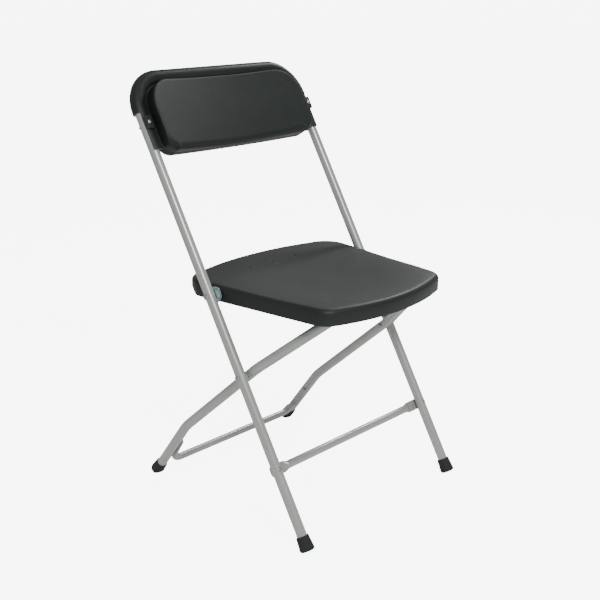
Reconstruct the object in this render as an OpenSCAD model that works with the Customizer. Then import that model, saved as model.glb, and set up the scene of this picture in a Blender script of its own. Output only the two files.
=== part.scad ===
// Folding chair: a bent steel tube frame with a moulded seat and a two-piece moulded backrest.
// The chair faces -Y, +Z is up and X runs across it. The origin is on the floor, under the middle.

/* [Frame tubes] */
// Outer diameter of the frame tubes
tube_d = 19; // [17:0.5:21]
// Wall thickness of the frame tubes
tube_wall = 1.2; // [1:0.1:1.6]
// Distance between the centre lines of the two uprights
upright_spacing = 422; // [400:1:440]
// Angle that the uprights lean back from vertical
upright_lean = 29.8; // [28:0.1:31]
// Height along the uprights of the centre line of the top bow
bow_top = 908; // [880:1:920]
// Bend radius of the top bow
bow_r = 65; // [50:1:80]
// Y of the point where the axis of an upright meets the floor
front_foot_y = -218; // [-230:0.5:-200]

/* [Rear legs] */
// Distance between the centre lines of the rear legs
rear_spacing = 381; // [370:1:384]
// Slope of the main run of a rear leg above horizontal
rear_slope = 40.8; // [38:0.1:44]
// Slope of the foot run of a rear leg above horizontal
foot_slope = 52.6; // [48:0.1:56]
// Distance from the cross pivot down to the knee
knee_from_pivot = 239; // [220:1:250]
// Distance from the cross pivot up to the crossbar
crossbar_from_pivot = 188.5; // [180:0.5:195]
// Distance from the cross pivot up to where the leg turns inward
waist_from_pivot = 25; // [20:1:30]
// Angle that the upper legs turn inward
waist_angle = 24; // [18:1:28]

/* [Pivots] */
// Distance along the uprights to the cross pivot
cross_pivot_t = 327.5; // [315:0.5:340]
// Distance along the uprights to the seat pivot
seat_pivot_t = 484; // [470:0.5:495]
// Radius of the pivot rivets
rivet_r = 3.2; // [2.5:0.1:4]

/* [Stretchers] */
// Distance along the uprights to the front stretcher
stretcher_t = 151.7; // [140:0.5:170]
// Diameter of the front stretcher
stretcher_d = 15; // [13:0.5:17]
// Diameter of the rear stretcher bar
rear_bar_d = 14.5; // [12:0.5:16]

/* [Feet] */
// Outer diameter of a rubber foot
foot_d = 24; // [22:0.5:27]
// Diameter of a foot near its sole
foot_low_d = 28; // [24:0.5:30]
// Length of a rubber foot
foot_len = 28; // [22:1:32]

/* [Seat] */
// Height of the seat skirt
skirt_h = 29.8; // [26:0.2:34]
// Height of the rim of the seat above its pivot
rim_above_pivot = 17; // [14:0.5:19]
// Depth of the hollow in the top of the seat
dish_depth = 13; // [8:1:16]
// Wall thickness of the mouldings
wall = 3; // [2.5:0.1:3.5]
// Angle that the seat falls towards its front
seat_fall = 1.15; // [0:0.05:3]

/* [Backrest] */
// Width of the padded-looking front face
face_w = 386; // [370:1:390]
// Lowest point of the backrest along the uprights
back_low_t = 755; // [750:1:765]
// Top of the front face along the uprights
face_top_t = 894; // [880:1:898]
// How far the front face stands forward of the uprights at its sides
face_forward = 30; // [24:1:34]
// How far the front face curves back at the middle
face_hollow = 16; // [8:1:20]

/* [Hidden] */
$fn = 48;

running = 0.05;             // radial clearance of a running or sliding fit
gap = 0.3;                  // space between faces that move past each other
through = 1;                // how far a cutter runs past the face that it cuts

tube_r = tube_d / 2;
upright_x = upright_spacing / 2;
tube_start = 8;             // the tube ends this far up inside its rubber foot
bow_low_t = bow_top - bow_r;

rear_x = rear_spacing / 2;
knee_bend_r = 120;
waist_bend_r = 60;
crossbar_bend_r = 35;
cross_y = front_foot_y + cross_pivot_t * sin(upright_lean);
cross_z = cross_pivot_t * cos(upright_lean);
knee_y = cross_y + knee_from_pivot * cos(rear_slope);
knee_z = cross_z - knee_from_pivot * sin(rear_slope);
foot_run = knee_z / sin(foot_slope);

seat_y = front_foot_y + seat_pivot_t * sin(upright_lean);
seat_z = seat_pivot_t * cos(upright_lean);

head_r = 6;                 // pivot rivet heads
head_h = 2.6;
head_rim = 0.4;             // straight rim of a pivot rivet head, proud of the tube
small_head_r = 4.5;         // stretcher rivet heads
small_head_h = 1.8;
back_head_r = 3.9;          // backrest rivet heads
back_head_h = 1.4;
spacer_r = 6.5;

shoulder_r = 7;             // rounding of the seat rim
seat_front = -268.6;        // front edge of the seat from its pivot, at the middle
seat_rear = 112.9;          // rear edge of the seat from its pivot, at the middle
rear_cutaway = 11;          // the skirt is this much shallower behind the rear corners

sleeve_r = tube_r + wall + 0.5;
sleeve_end_t = 766;         // lower end of the front sleeves
ear_end_t = 840;            // lower end of the part that wraps the outside of the bow
boss_t = 817;               // height of the backrest rivets along the uprights
back_depth = 15;            // how far the rear shell stands behind the uprights

// ---- placing -------------------------------------------------------------

// x across, y up along the uprights, z forward of them
module upright_frame() {
    translate([0, front_foot_y, 0]) rotate([90 - upright_lean, 0, 0]) children();
}

// x across, y rearward and z up from the seat pivot
module seat_frame() {
    translate([0, seat_y, seat_z]) rotate([seat_fall, 0, 0]) children();
}

// draws the child for the left side (-X) or its mirror image for the right
module side(right) {
    if (right) mirror([1, 0, 0]) children();
    else children();
}

module both_sides() {
    children();
    mirror([1, 0, 0]) children();
}

// a cylinder that runs along X from x1 to x2
module along_x(x1, x2, r) {
    translate([x1, 0, 0]) rotate([0, 90, 0]) cylinder(r = r, h = x2 - x1);
}

// ---- tubes and rivets ----------------------------------------------------

function unit(v) = v / norm(v);

module ring(r_out, r_in) {
    difference() {
        circle(r_out);
        circle(r_in);
    }
}

// Sweeps the 2D child up +Z. A step [length] is a straight run, and a step
// [radius, angle, roll] turns the profile by roll and then bends it towards its own +X.
module sweep(steps, i = 0) {
    if (i < len(steps)) {
        step = steps[i];
        if (len(step) == 1) {
            linear_extrude(step[0]) children();
            translate([0, 0, step[0]]) sweep(steps, i + 1) children();
        } else {
            r = step[0];
            a = step[1];
            rotate([0, 0, step[2]]) {
                translate([r, 0, 0]) rotate([90, 0, 180])
                    rotate_extrude(angle = a) translate([r, 0]) mirror([1, 0]) children();
                translate([r * (1 - cos(a)), 0, r * sin(a)]) rotate([0, a, 0])
                    sweep(steps, i + 1) children();
            }
        }
    }
}

// The centre line of a tube through corners [x, y, z, bend radius], as [point, direction] pairs
function bent_line(corners) =
    let (
        n = len(corners),
        p = [for (c = corners) [c[0], c[1], c[2]]],
        d = [for (i = [0 : n - 2]) unit(p[i + 1] - p[i])]
    )
    concat(
        [[p[0], d[0]]],
        [for (i = [1 : n - 2])
            let (
                r = corners[i][3],
                turn = acos(d[i - 1] * d[i]),
                inward = unit(d[i] - d[i - 1] * (d[i - 1] * d[i])),
                start = p[i] - d[i - 1] * r * tan(turn / 2),
                steps = ceil(turn / 6)
            )
            each [for (k = [0 : steps])
                let (a = turn * k / steps)
                [start + d[i - 1] * r * sin(a) + inward * r * (1 - cos(a)),
                 d[i - 1] * cos(a) + inward * sin(a)]]],
        [[p[n - 1], d[n - 2]]]
    );

// A hollow tube along a bent line, with keel a direction that the line never runs along
module bent_tube(line, keel, r_out, r_in, sides = 28) {
    n = len(line);
    function circle_at(s, r) =
        let (e1 = unit(cross(s[1], keel)), e2 = cross(s[1], e1))
        [for (k = [0 : sides - 1])
            let (a = 360 * k / sides) s[0] + (e1 * cos(a) + e2 * sin(a)) * r];
    function at(i, k) = i * sides + k % sides;
    inner = n * sides;
    polyhedron(
        points = concat([for (s = line) each circle_at(s, r_out)],
                        [for (s = line) each circle_at(s, r_in)]),
        faces = [
            for (i = [0 : n - 2], k = [0 : sides - 1])
                each [[at(i, k), at(i + 1, k + 1), at(i + 1, k)],
                      [at(i, k), at(i, k + 1), at(i + 1, k + 1)],
                      [inner + at(i, k), inner + at(i + 1, k), inner + at(i + 1, k + 1)],
                      [inner + at(i, k), inner + at(i + 1, k + 1), inner + at(i, k + 1)]],
            for (k = [0 : sides - 1])
                each [[at(0, k), inner + at(0, k), inner + at(0, k + 1)],
                      [at(0, k), inner + at(0, k + 1), at(0, k + 1)],
                      [at(n - 1, k), inner + at(n - 1, k + 1), inner + at(n - 1, k)],
                      [at(n - 1, k), at(n - 1, k + 1), inner + at(n - 1, k + 1)]]
        ]
    );
}

// A domed head with its flat side on z = 0
module rivet_head(r, h, rim = 0) {
    ball_r = (r * r + h * h) / (2 * h);
    intersection() {
        translate([0, 0, rim + h - ball_r]) sphere(ball_r);
        cylinder(r = r, h = rim + h);
    }
}

// A pivot rivet along X on the left side: head outside the upright, head inside at x_in
module pivot_rivet(x_in) {
    translate([-upright_x, 0, 0]) difference() {
        rotate([0, -90, 0]) rivet_head(head_r, head_h, tube_r + head_rim);
        rotate([-upright_lean, 0, 0]) cylinder(r = tube_r, h = 4 * head_r, center = true);
    }
    along_x(-upright_x - tube_r - head_rim / 2, x_in, rivet_r);
    translate([x_in, 0, 0]) rotate([0, 90, 0]) rivet_head(head_r, head_h);
}

// ---- rounded outlines and moulded shells ---------------------------------

function left_of(v) = [-v[1], v[0]];
function turned(v, a) = [v[0] * cos(a) - v[1] * sin(a), v[0] * sin(a) + v[1] * cos(a)];

// The points of one rounded corner. A corner is [x, y, radius, steps].
function corner_arc(before, corner, after, inset) =
    let (
        p = [corner[0], corner[1]],
        d1 = unit(p - [before[0], before[1]]),
        d2 = unit([after[0], after[1]] - p),
        turn = acos(d1 * d2),
        r = corner[2],
        start = p - d1 * r * tan(turn / 2),
        centre = start + left_of(d1) * r
    )
    [for (k = [0 : corner[3]]) centre + turned(-left_of(d1), turn * k / corner[3]) * (r - inset)];

// A closed outline from corners in anticlockwise order, drawn in by inset
function outline(corners, inset) =
    let (n = len(corners))
    [for (i = [0 : n - 1])
        each corner_arc(corners[(i + n - 1) % n], corners[i], corners[(i + 1) % n], inset)];

function centre_of(corners) = [0, (corners[0][1] + corners[3][1]) / 2];

// One ring of a shell: the outline, or its copy shrunk towards the middle
function shell_ring(corners, inset, shrink, height) =
    let (mid = centre_of(corners))
    [for (p = outline(corners, inset))
        let (q = mid + (p - mid) * shrink)
        [q[0], q[1], height(q[0], q[1])]];

// A closed skin over a stack of rings with equal numbers of points, capped by a point at each end
module skin(first, rings, final) {
    n = len(rings[0]);
    last = len(rings) - 1;
    polyhedron(
        points = concat([first], [for (r = rings) each r], [final]),
        faces = concat(
            [for (j = [0 : n - 1]) [0, 1 + (j + 1) % n, 1 + j]],
            [for (i = [0 : last - 1], j = [0 : n - 1])
                let (a = 1 + i * n + j, b = 1 + i * n + (j + 1) % n)
                each [[a, b + n, a + n], [a, b, b + n]]],
            [for (j = [0 : n - 1])
                [1 + (last + 1) * n, 1 + last * n + j, 1 + last * n + (j + 1) % n]]
        )
    );
}

// A moulded tray: a face that top(x, y) gives, a rounded shoulder, and walls that end at foot(x, y)
module moulded_shell(corners, shoulder, top, foot) {
    face_steps = [for (s = [0.12 : 0.16 : 0.93]) s];
    arc_steps = [90, 60, 30, 0];
    outside = concat(
        [for (s = face_steps) shell_ring(corners, shoulder, s, top)],
        [for (a = arc_steps)
            shell_ring(corners, shoulder * (1 - cos(a)), 1,
                       function(x, y) top(x, y) - shoulder * (1 - sin(a)))],
        [shell_ring(corners, 0, 1, foot)]
    );
    inside = concat(
        [shell_ring(corners, wall, 1, foot)],
        [for (a = [0, 45, 90])
            shell_ring(corners, wall + (shoulder - wall) * (1 - cos(a)), 1,
                       function(x, y) top(x, y) - wall - (shoulder - wall) * (1 - sin(a)))],
        [for (i = [len(face_steps) - 1 : -1 : 0])
            shell_ring(corners, shoulder, face_steps[i], function(x, y) top(x, y) - wall)]
    );
    mid = centre_of(corners);
    mid_top = top(mid[0], mid[1]);
    skin([mid[0], mid[1], mid_top], concat(outside, inside), [mid[0], mid[1], mid_top - wall]);
}

// Corners for an outline that is the same on both sides: front or low middle, two right corners,
// rear or top middle, and the two corners again on the left
function mirrored(low, right_low, right_high, high) =
    [low, right_low, right_high, high,
     [-right_high[0], right_high[1], right_high[2], right_high[3]],
     [-right_low[0], right_low[1], right_low[2], right_low[3]]];

// ---- front frame ---------------------------------------------------------

module front_frame_tube() {
    straight = bow_low_t - tube_start;
    color("silver") upright_frame() difference() {
        translate([-upright_x, tube_start, 0]) rotate([-90, 0, 0])
            sweep([[straight], [bow_r, 90, 0], [upright_spacing - 2 * bow_r], [bow_r, 90, 0],
                   [straight]])
                ring(tube_r, tube_r - tube_wall);
        for (t = [cross_pivot_t, seat_pivot_t])
            translate([0, t, 0]) both_sides()
                along_x(-upright_x - tube_r - through, -upright_x + tube_r + through, rivet_r + running);
        both_sides() for (t = [stretcher_t, boss_t])
            translate([-upright_x, t, -tube_r - through])
                cylinder(r = rivet_r + running, h = tube_d + 2 * through);
    }
}

paddle_h = 21;              // height of the flattened ends of the front stretcher
paddle_t = 4.2;             // their thickness
paddle_end_x = 216;         // the ends stand a little past the rivets
paddle_in_x = 184;
round_end_x = 173;
paddle_z = -tube_r - paddle_t / 2;

module front_stretcher() {
    color("silver") upright_frame() translate([0, stretcher_t, paddle_z]) {
        translate([-round_end_x, 0, 0]) rotate([0, 90, 0])
            linear_extrude(2 * round_end_x) ring(stretcher_d / 2, stretcher_d / 2 - tube_wall);
        both_sides() {
            difference() {
                translate([-paddle_end_x, -paddle_h / 2, -paddle_t / 2])
                    cube([paddle_end_x - paddle_in_x, paddle_h, paddle_t]);
                translate([-upright_x, 0, -paddle_t]) cylinder(r = rivet_r + running, h = 2 * paddle_t);
            }
            hull() {
                translate([-paddle_in_x, -paddle_h / 2, -paddle_t / 2]) cube([0.1, paddle_h, paddle_t]);
                along_x(-round_end_x - 0.1, -round_end_x, stretcher_d / 2);
            }
        }
    }
}

module front_stretcher_rivets() {
    back_z = paddle_z - paddle_t / 2;
    color("silver") upright_frame() both_sides() translate([-upright_x, stretcher_t, 0]) {
        translate([0, 0, back_z]) cylinder(r = rivet_r, h = tube_r - back_z);
        translate([0, 0, tube_r]) rivet_head(small_head_r, small_head_h);
        translate([0, 0, back_z]) mirror([0, 0, 1]) rivet_head(small_head_r, small_head_h);
    }
}

// A rubber foot that points down -Z from the tube's floor point, with its axis on Z
module foot_cap(start) {
    round_r = 3.5;
    rotate_extrude() difference() {
        union() {
            translate([foot_low_d / 2 - round_r, start + round_r]) circle(round_r);
            polygon([[0, start], [foot_low_d / 2 - round_r, start], [foot_low_d / 2, start + round_r],
                     [foot_d / 2, start + foot_len], [0, start + foot_len]]);
        }
        translate([0, tube_start]) square([tube_r + running, foot_len + through]);
        translate([-foot_d, start - through]) square([foot_d, foot_len + 3 * through]);
    }
}

floor_cut = 60;

module front_foot() {
    color("darkslategray") difference() {
        upright_frame() translate([-upright_x, 0, 0]) rotate([-90, 0, 0]) foot_cap(1);
        translate([-upright_x, front_foot_y, -floor_cut / 2]) cube(floor_cut, center = true);
    }
}

module front_foot_left() { side(false) front_foot(); }
module front_foot_right() { side(true) front_foot(); }

// ---- backrest ------------------------------------------------------------

back_corners = mirrored([0, back_low_t - 1.7, 8500, 6], [face_w / 2, back_low_t + 2.2, 26, 5],
                        [face_w / 2, face_top_t, 55, 7], [0, face_top_t + 1, 8000, 4]);

// Sweeps the 2D child along the bow from t1 on one side to t1 on the other
module along_bow(t1) {
    translate([-upright_x, t1, 0]) rotate([-90, 0, 0])
        sweep([[bow_low_t - t1], [bow_r, 90, 0], [upright_spacing - 2 * bow_r], [bow_r, 90, 0],
               [bow_low_t - t1]]) children();
}

// The section of a sleeve about the tube between two depths, y towards the rear
module sleeve_section(y1, y2) {
    intersection() {
        ring(sleeve_r, tube_r + 0.1);
        translate([-sleeve_r, y1]) square([2 * sleeve_r, y2 - y1]);
    }
}

part_line = -3;             // the two mouldings meet this far in front of the tube axis
front_edge_x = -6.2;        // outer edge of the front sleeve, from the tube axis
boss_out = 7;               // the rivet block reaches this far outward of the tube axis
web_w = 9;                  // web that joins a sleeve to the raised face

module back_front_panel() {
    color("darkslategray") upright_frame() difference() {
        union() {
            along_bow(sleeve_end_t) union() {
                difference() {
                    sleeve_section(-sleeve_r, part_line);
                    translate([front_edge_x - 2 * sleeve_r, -2 * sleeve_r])
                        square([2 * sleeve_r, 2 * sleeve_r]);
                }
                translate([sleeve_r - 1, part_line - wall]) square([web_w, wall]);
            }
            moulded_shell(back_corners, 5,
                          function(x, y) face_forward - face_hollow * (1 - pow(x / (face_w / 2), 2)),
                          function(x, y) -part_line);
            both_sides() translate([-upright_x - boss_out, boss_t - 12.5, tube_r + 1])
                cube([boss_out + 9, 25, 7.5]);
        }
        both_sides() translate([-upright_x, boss_t, 0]) cylinder(r = rivet_r + running, h = 40);
    }
}

rear_part = part_line + 0.1;
rear_edge_low = 6;          // below the ear the rear shell stays behind this depth

module back_rear_shell() {
    grip_half = 131;
    grip_pitch = 8.2;
    color("darkslategray") upright_frame() difference() {
        union() {
            along_bow(ear_end_t) difference() {
                intersection() {
                    ring(sleeve_r + 0.4, tube_r + 0.3);
                    union() {
                        translate([-2 * sleeve_r, rear_part]) square([2 * sleeve_r, 2 * sleeve_r]);
                        translate([-2 * sleeve_r, -2 * sleeve_r])
                            square([2 * sleeve_r + front_edge_x - 0.2, 4 * sleeve_r]);
                    }
                }
                translate([-2 * sleeve_r, sleeve_r - 0.6]) square([4 * sleeve_r, sleeve_r]);
            }
            along_bow(sleeve_end_t) union() {
                intersection() {
                    sleeve_section(rear_edge_low, sleeve_r);
                    square(2 * sleeve_r);
                }
                translate([0, tube_r + 0.5]) square([sleeve_r + web_w - 1, wall]);
            }
            both_sides() translate([-upright_x, boss_t, -sleeve_r]) cylinder(r = 6, h = wall - 0.2);
            mirror([0, 0, 1]) moulded_shell(back_corners, 5, function(x, y) back_depth,
                                            function(x, y) rear_part);
            for (x = [-grip_half + grip_pitch : grip_pitch : grip_half - grip_pitch])
                translate([x - 1.2, bow_top + sleeve_r - 1.5, -4]) cube([2.4, 2.3, 8 - rear_part - 4.2]);
        }
        both_sides() translate([-upright_x, boss_t, -40]) cylinder(r = rivet_r + running, h = 40);
        both_sides() translate([-grip_half - 1.5, bow_top + sleeve_r - 3, -4]) cube([3, 6, 12]);
    }
}

module back_rivets() {
    front_z = tube_r + 8.5;
    color("gainsboro") upright_frame() both_sides() translate([-upright_x, boss_t, 0]) {
        translate([0, 0, -sleeve_r]) cylinder(r = rivet_r, h = front_z + sleeve_r);
        translate([0, 0, front_z]) rivet_head(back_head_r, back_head_h);
        translate([0, 0, -sleeve_r]) mirror([0, 0, 1]) rivet_head(back_head_r, back_head_h);
    }
}

// ---- pivots --------------------------------------------------------------

bracket_x = 187.8;          // outer face of the seat bracket at the pivot
bracket_t = 2;

module seat_pivot_rivets() {
    color("silver") both_sides() translate([0, seat_y, seat_z])
        pivot_rivet(-bracket_x + bracket_t + gap);
}

module cross_pivot_rivets() {
    color("silver") both_sides() translate([0, cross_y, cross_z])
        pivot_rivet(-rear_x + tube_r + gap);
}

// A short spacer that is saddled on the upright and flat against the rear leg
module cross_pivot_spacer() {
    color("dimgray") translate([0, cross_y, cross_z]) difference() {
        along_x(-upright_x, -rear_x - tube_r - gap, spacer_r);
        along_x(-upright_x - through, -rear_x, rivet_r + running);
        translate([-upright_x, 0, 0]) rotate([-upright_lean, 0, 0])
            cylinder(r = tube_r + running, h = 4 * spacer_r, center = true);
    }
}

module cross_pivot_spacer_left() { side(false) cross_pivot_spacer(); }
module cross_pivot_spacer_right() { side(true) cross_pivot_spacer(); }

seat_side_x = 195.5;        // outer face of the seat skirt at the pivot, spot-faced for the spacer
flange_r = 14.5;             // flange of the spacer

// A cupped, plated spacer: a wide flange on the seat and a narrow hub at the upright
module seat_pivot_spacer() {
    x_hub = -upright_x + tube_r + gap;
    x_flange = -seat_side_x;
    color("lightsteelblue") translate([0, seat_y, seat_z]) difference() {
        union() {
            along_x(x_flange - 1.6, x_flange, flange_r);
            translate([x_hub, 0, 0]) rotate([0, 90, 0])
                cylinder(r1 = 7, r2 = 11, h = x_flange - x_hub - 1.6);
        }
        along_x(x_hub - through, x_flange + through, rivet_r + running);
    }
}

module seat_pivot_spacer_left() { side(false) seat_pivot_spacer(); }
module seat_pivot_spacer_right() { side(true) seat_pivot_spacer(); }

// ---- rear legs -----------------------------------------------------------

crossbar_half = rear_x - tan(waist_angle) * (crossbar_from_pivot - waist_from_pivot);

// A point on the main run of the left rear leg, by its distance above the cross pivot
function on_rear_leg(x, up, r) = [x, cross_y - up * cos(rear_slope), cross_z + up * sin(rear_slope), r];

module rear_leg_frame() {
    foot = foot_run - tube_start;
    left = [
        [-rear_x, knee_y + foot * cos(foot_slope), knee_z - foot * sin(foot_slope), 0],
        on_rear_leg(-rear_x, -knee_from_pivot, knee_bend_r),
        on_rear_leg(-rear_x, waist_from_pivot, waist_bend_r),
        on_rear_leg(-crossbar_half, crossbar_from_pivot, crossbar_bend_r)
    ];
    right = [for (i = [3 : -1 : 0]) [-left[i][0], left[i][1], left[i][2], left[i][3]]];
    color("silver") difference() {
        bent_tube(bent_line(concat(left, right)), [0, sin(rear_slope), cos(rear_slope)],
                  tube_r, tube_r - tube_wall);
        translate([0, cross_y, cross_z]) both_sides()
            along_x(-rear_x - tube_r - through, -rear_x + tube_r + through, rivet_r + running);
    }
}

// The lower bar: a bar across, turned up at both ends, with flattened tips on the legs
module rear_stretcher() {
    bar_r = rear_bar_d / 2;
    bar_turn_r = 24;
    tip_t = 3.6;
    tip_w = 15;
    tip_start = 30;
    tip_len = 44;
    bar_slope = 57;
    bar_y = knee_y + 68;
    bar_z = 27;
    bar_x = rear_x - tube_r - bar_r - 0.1;
    tip_x = rear_x - tube_r - 0.1;
    color("silver") translate([0, bar_y, bar_z]) rotate([90 - bar_slope, 0, 0]) {
        translate([-bar_x + bar_turn_r, 0, 0]) rotate([0, 90, 0])
            cylinder(r = bar_r, h = 2 * (bar_x - bar_turn_r));
        both_sides() {
            translate([-bar_x + bar_turn_r, 0, bar_turn_r]) rotate([90, 0, 0])
                rotate([0, 0, 180]) rotate_extrude(angle = 90) translate([bar_turn_r, 0]) circle(bar_r);
            hull() {
                translate([-bar_x, 0, bar_turn_r]) cylinder(r = bar_r, h = 0.1);
                translate([-tip_x, -tip_w / 2, tip_start]) cube([tip_t, tip_w, 0.1]);
            }
            translate([-tip_x, -tip_w / 2, tip_start]) cube([tip_t, tip_w, tip_len]);
        }
    }
}

module rear_foot() {
    color("darkslategray") difference() {
        translate([-rear_x, knee_y, knee_z]) rotate([90 - foot_slope, 0, 0])
            translate([0, 0, -foot_run]) foot_cap(2);
        translate([-rear_x, knee_y + foot_run * cos(foot_slope), -floor_cut / 2])
            cube(floor_cut, center = true);
    }
}

module rear_foot_left() { side(false) rear_foot(); }
module rear_foot_right() { side(true) rear_foot(); }

// ---- seat ----------------------------------------------------------------

seat_corners = mirrored([0, seat_front - 25.6, 420, 10], [166.4, seat_front + 33.3, 37, 7],
                        [204.9, seat_rear - 32.5, 48, 8], [0, seat_rear + 15.5, 570, 8]);
seat_mid = centre_of(seat_corners);

function ease(x) = let (u = min(1, max(0, x))) u * u * (3 - 2 * u);
function seat_top(x, y) =
    rim_above_pivot - dish_depth * ease(1.15 - norm([x / 185, (y - seat_mid[1]) / 178]));
function seat_foot(x, y) = rim_above_pivot - skirt_h + rear_cutaway * ease((y - 50) / 18);

drain_x = 63;               // three drain holes across the rear of the seat
drain_y = 48;
drain_r = 2.2;

module seat_shell() {
    color("darkslategray") seat_frame() difference() {
        moulded_shell(seat_corners, shoulder_r, function(x, y) seat_top(x, y),
                      function(x, y) seat_foot(x, y));
        both_sides() {
            along_x(-upright_x, -seat_side_x + 3 * wall, rivet_r + 0.6);
            along_x(-upright_x, -seat_side_x + 0.1, flange_r + gap);
        }
        for (x = [-drain_x, 0, drain_x]) translate([x, drain_y, 0]) cylinder(r = drain_r, h = 2 * rim_above_pivot);
    }
}

flange_z = 8;               // underside of the bracket flange, from the pivot
bracket_half = 30;

// A steel angle: an upright plate with the pivot hole and a flange under the seat
module seat_bracket() {
    color("silver") seat_frame() difference() {
        union() {
            translate([-bracket_x, -bracket_half, -10])
                cube([bracket_t, 2 * bracket_half, flange_z + bracket_t + 10]);
            translate([-bracket_x, -bracket_half, flange_z])
                cube([28, 2 * bracket_half, bracket_t]);
        }
        along_x(-bracket_x - through, -bracket_x + bracket_t + through, rivet_r + running);
    }
}

module seat_bracket_left() { side(false) seat_bracket(); }
module seat_bracket_right() { side(true) seat_bracket(); }

saddle_x = 70;
saddle_w = 30;
crossbar_y = cross_y - crossbar_from_pivot * cos(rear_slope);
crossbar_z = cross_z + crossbar_from_pivot * sin(rear_slope);

// A block under the seat front with a half-round seat for the crossbar, open downward and rearward
module crossbar_saddle() {
    block_h = 17.6;
    color("darkslategray") translate([-saddle_x, crossbar_y, crossbar_z]) difference() {
        translate([-saddle_w / 2, -tube_r - 4, 0]) cube([saddle_w, tube_d + 4, block_h]);
        along_x(-saddle_w, saddle_w, tube_r + gap);
        translate([-saddle_w, 0, -through]) cube([2 * saddle_w, 2 * tube_d, tube_r + gap + through]);
    }
}

module crossbar_saddle_left() { side(false) crossbar_saddle(); }
module crossbar_saddle_right() { side(true) crossbar_saddle(); }

// Pan-head screws up into the seat, two in each bracket
module seat_screws() {
    screw_r = 2;
    color("gainsboro") seat_frame() both_sides() for (y = [-18, 18])
        translate([-bracket_x + 16, y, flange_z]) {
            cylinder(r = screw_r, h = 6);
            mirror([0, 0, 1]) rivet_head(4, 2);
        }
}

front_frame_tube();
front_stretcher();
front_stretcher_rivets();
front_foot_left();
front_foot_right();
back_front_panel();
back_rear_shell();
back_rivets();
seat_pivot_rivets();
cross_pivot_rivets();
cross_pivot_spacer_left();
cross_pivot_spacer_right();
rear_leg_frame();
rear_stretcher();
rear_foot_left();
rear_foot_right();
seat_shell();
seat_bracket_left();
seat_bracket_right();
seat_pivot_spacer_left();
seat_pivot_spacer_right();
crossbar_saddle_left();
crossbar_saddle_right();
seat_screws();
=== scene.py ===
import math

import bmesh
import bpy
from mathutils import Matrix, Vector


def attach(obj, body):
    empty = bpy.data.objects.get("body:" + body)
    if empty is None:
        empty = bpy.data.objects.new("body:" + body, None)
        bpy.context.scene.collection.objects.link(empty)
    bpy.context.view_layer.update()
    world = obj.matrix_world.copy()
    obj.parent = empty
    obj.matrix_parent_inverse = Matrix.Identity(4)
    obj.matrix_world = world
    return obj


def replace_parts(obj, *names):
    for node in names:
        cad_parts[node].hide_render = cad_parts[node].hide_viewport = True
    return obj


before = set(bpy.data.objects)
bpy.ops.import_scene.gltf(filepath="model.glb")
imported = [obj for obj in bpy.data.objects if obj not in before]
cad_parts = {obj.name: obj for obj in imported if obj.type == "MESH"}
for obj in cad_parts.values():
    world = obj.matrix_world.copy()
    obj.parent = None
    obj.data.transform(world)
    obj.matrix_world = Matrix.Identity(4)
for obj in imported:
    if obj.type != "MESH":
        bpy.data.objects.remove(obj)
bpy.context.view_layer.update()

# ---- Studio ---------------------------------------------------------------------------
# A pale seamless floor, a bright overcast sky and two large soft lamps. The camera stands
# in front, to the sitter's right, a little above the backrest, with a moderate long lens.
MM = 0.001
CAMERA_AT = Vector((-1.3860, -1.2981, 0.9599))
CAMERA_AZIMUTH = math.radians(-46.9)
CAMERA_ELEVATION = math.radians(17.27)
CAMERA_LENS = 61.63
FLOOR_HALF = 20
BACKDROP_GLOW = 7.0
SKY_LIGHT = 0.46


def add_object(name, data):
    made = bpy.data.objects.new(name, data)
    bpy.context.scene.collection.objects.link(made)
    return made


def aim(obj, back):
    obj.rotation_mode = "QUATERNION"
    obj.rotation_quaternion = (-back).to_track_quat("-Z", "Y")


def soft_lamp(name, place, target, size, power):
    lamp = bpy.data.lights.new(name, "AREA")
    lamp.shape = "DISK"
    lamp.size = size
    lamp.energy = power
    made = add_object(name, lamp)
    made.location = place
    aim(made, (Vector(place) - Vector(target)).normalized())


camera = add_object("camera", bpy.data.cameras.new("camera"))
camera.data.lens = CAMERA_LENS
camera.data.sensor_width = 36
camera.data.clip_start = 0.05
camera.location = CAMERA_AT
aim(camera, Vector((math.sin(CAMERA_AZIMUTH) * math.cos(CAMERA_ELEVATION),
                    -math.cos(CAMERA_AZIMUTH) * math.cos(CAMERA_ELEVATION),
                    math.sin(CAMERA_ELEVATION))))
bpy.context.scene.camera = camera

floor_mesh = bpy.data.meshes.new("floor")
floor_corners = [(x * FLOOR_HALF, y * FLOOR_HALF, 0) for x, y in ((-1, -1), (1, -1), (1, 1), (-1, 1))]
floor_mesh.from_pydata(floor_corners, [], [(0, 1, 2, 3)])
floor = add_object("floor", floor_mesh)
floor_paint = bpy.data.materials.new("studio_floor")
floor_paint.use_nodes = True
floor_tree = floor_paint.node_tree
floor_shader = floor_tree.nodes["Principled BSDF"]
floor_shader.inputs["Base Color"].default_value = (0.93, 0.93, 0.925, 1)
floor_shader.inputs["Roughness"].default_value = 0.9
floor_shader.inputs["Specular IOR Level"].default_value = 0.1
floor_shader.inputs["Emission Color"].default_value = (1.0, 1.0, 1.0, 1)
floor_mesh.materials.append(floor_paint)


def seen_directly(tree, elsewhere, to_camera):
    """A strength that differs between what the camera sees and what lights the chair."""
    path = tree.nodes.new("ShaderNodeLightPath")
    reach = tree.nodes.new("ShaderNodeMapRange")
    reach.inputs["To Min"].default_value = elsewhere
    reach.inputs["To Max"].default_value = to_camera
    tree.links.new(path.outputs["Is Camera Ray"], reach.inputs["Value"])
    return reach.outputs["Result"]


floor_tree.links.new(seen_directly(floor_tree, 0.0, BACKDROP_GLOW),
                     floor_shader.inputs["Emission Strength"])

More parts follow.
